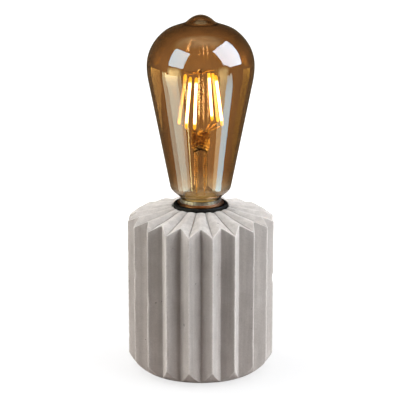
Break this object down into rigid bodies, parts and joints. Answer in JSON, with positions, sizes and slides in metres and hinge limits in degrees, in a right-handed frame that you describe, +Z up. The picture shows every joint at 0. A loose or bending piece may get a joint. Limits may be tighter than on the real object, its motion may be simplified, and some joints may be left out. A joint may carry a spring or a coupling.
{
  "type": "concrete table lamp",
  "caption": "Table lamp: a cylindrical concrete base with vertical pleats and a pleated top, a sunk screw lampholder with a black rim, and an amber filament bulb that unscrews.",
  "frame": {"origin": "on the surface the lamp stands on, in the middle of the casting", "axes": "+Z up along the bulb's axis, front towards -Y, cable inlet towards +Y"},
  "size_m": [0.0888, 0.0888, 0.2172],
  "materials": {
    "concrete": "fair-faced cast concrete, light warm grey, fine air holes",
    "steel": "bare steel",
    "zinc_steel": "bright zinc plated steel",
    "felt": "black felt",
    "brass": "bare brass",
    "rubber": "matt black rubber",
    "fibre": "red vulcanised fibre",
    "black_plastic": "black moulded thermoset",
    "porcelain": "white porcelain",
    "nickel": "nickel plated brass",
    "black_glass": "black glass",
    "cement": "cured cement",
    "board": "circuit board faced with gold-plated copper",
    "amber_glass": "amber tinted glass",
    "clear_glass": "clear glass",
    "filament": "yellow phosphor, lit",
    "gold_wire": "gilt wire"
  },
  "bodies": {
    "lamp": {"concrete_body": "concrete", "base_plate": "steel", "felt_pad": "felt", "base_screws": "steel", "threaded_inserts": "brass", "cable_grommet": "rubber", "threaded_tube": "zinc_steel", "tube_washer": "zinc_steel", "lock_washer": "zinc_steel", "tube_nut": "zinc_steel", "seat_washer": "fibre", "holder_dome": "black_plastic", "dome_grub_screw": "zinc_steel", "holder_sleeve": "black_plastic", "holder_collar": "black_plastic", "contact_block": "porcelain", "live_terminal": "brass", "neutral_terminal": "brass", "terminal_screws": "zinc_steel", "shell_rivets": "brass", "screw_shell": "nickel", "contact_spring": "zinc_steel"},
    "contact": {"contact_plunger": "brass"},
    "bulb_foot": {"cap_contact": "nickel", "cap_insulator": "black_glass"},
    "bulb": {"screw_cap": "brass", "cap_cement": "cement", "crimp_ring": "nickel", "driver_board": "board", "driver_capacitor": "black_plastic", "driver_chip": "black_plastic", "bulb_glass": "amber_glass", "bulb_stem": "clear_glass", "led_filaments": "filament", "upper_wires": "gold_wire", "lower_wires": "gold_wire", "lead_wires": "gold_wire"}
  },
  "joints": [
    {"name": "bulb_rise", "type": "slide", "parent": "lamp", "child": "bulb_foot", "axis": [0, 0, 1], "range_m": [0, 0.0146]},
    {"name": "bulb_turn", "type": "hinge", "parent": "bulb_foot", "child": "bulb", "pos_m": [0, 0, 0.09], "axis": [0, 0, 1], "range_deg": [0, 1440]},
    {"name": "contact_press", "type": "slide", "parent": "lamp", "child": "contact", "axis": [0, 0, 1], "range_m": [-0.001, 0], "stiffness_N_per_m": 900, "springref_m": 0.002, "deforming": ["contact_spring"]}
  ],
  "couplings": [
    {"joint": "bulb_rise", "follows": "bulb_turn", "m_per_rad": 0.00057757}
  ]
}
